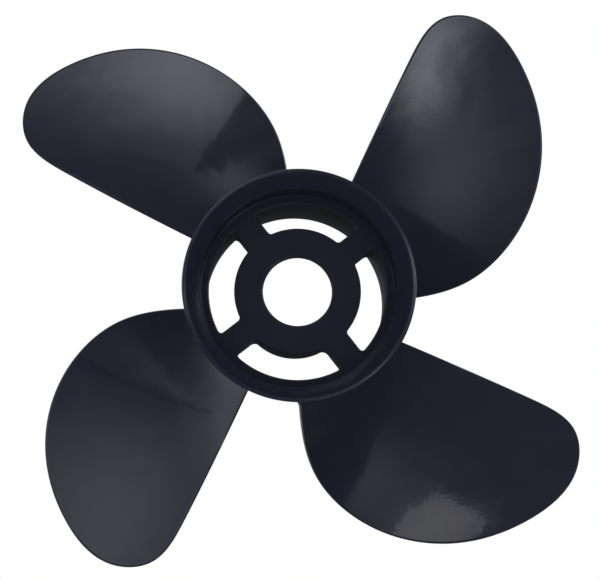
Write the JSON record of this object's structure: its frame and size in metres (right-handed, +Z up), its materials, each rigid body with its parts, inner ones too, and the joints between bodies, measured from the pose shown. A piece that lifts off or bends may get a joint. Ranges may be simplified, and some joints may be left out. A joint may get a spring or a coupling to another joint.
{
  "type": "boat propeller",
  "caption": "Outboard boat propeller with swept blades, a flared through-hub exhaust barrel, an inner bush housing on webs and a removable keyed drive bush.",
  "frame": {"origin": "on the shaft axis, at the aft face of the bush housing's lip", "axes": "+Y forward along the shaft towards the boat, +Z up, the flared exhaust end faces -Y"},
  "size_m": [0.2954, 0.105, 0.2954],
  "materials": {
    "black_enamel": "gloss black enamel baked on cast aluminium",
    "bush_polymer": "moulded black acetal, satin"
  },
  "bodies": {
    "casting": {"hub_barrel": "black_enamel", "flare_ring": "black_enamel", "bush_housing": "black_enamel", "web_1": "black_enamel", "web_2": "black_enamel", "web_3": "black_enamel", "web_4": "black_enamel", "blade_1": "black_enamel", "blade_2": "black_enamel", "blade_3": "black_enamel", "blade_4": "black_enamel"},
    "bush": {"drive_bush": "bush_polymer"}
  },
  "joints": [
    {"name": "bush_slide", "type": "slide", "parent": "casting", "child": "bush", "axis": [0, 1, 0], "range_m": [0, 0.075]}
  ]
}
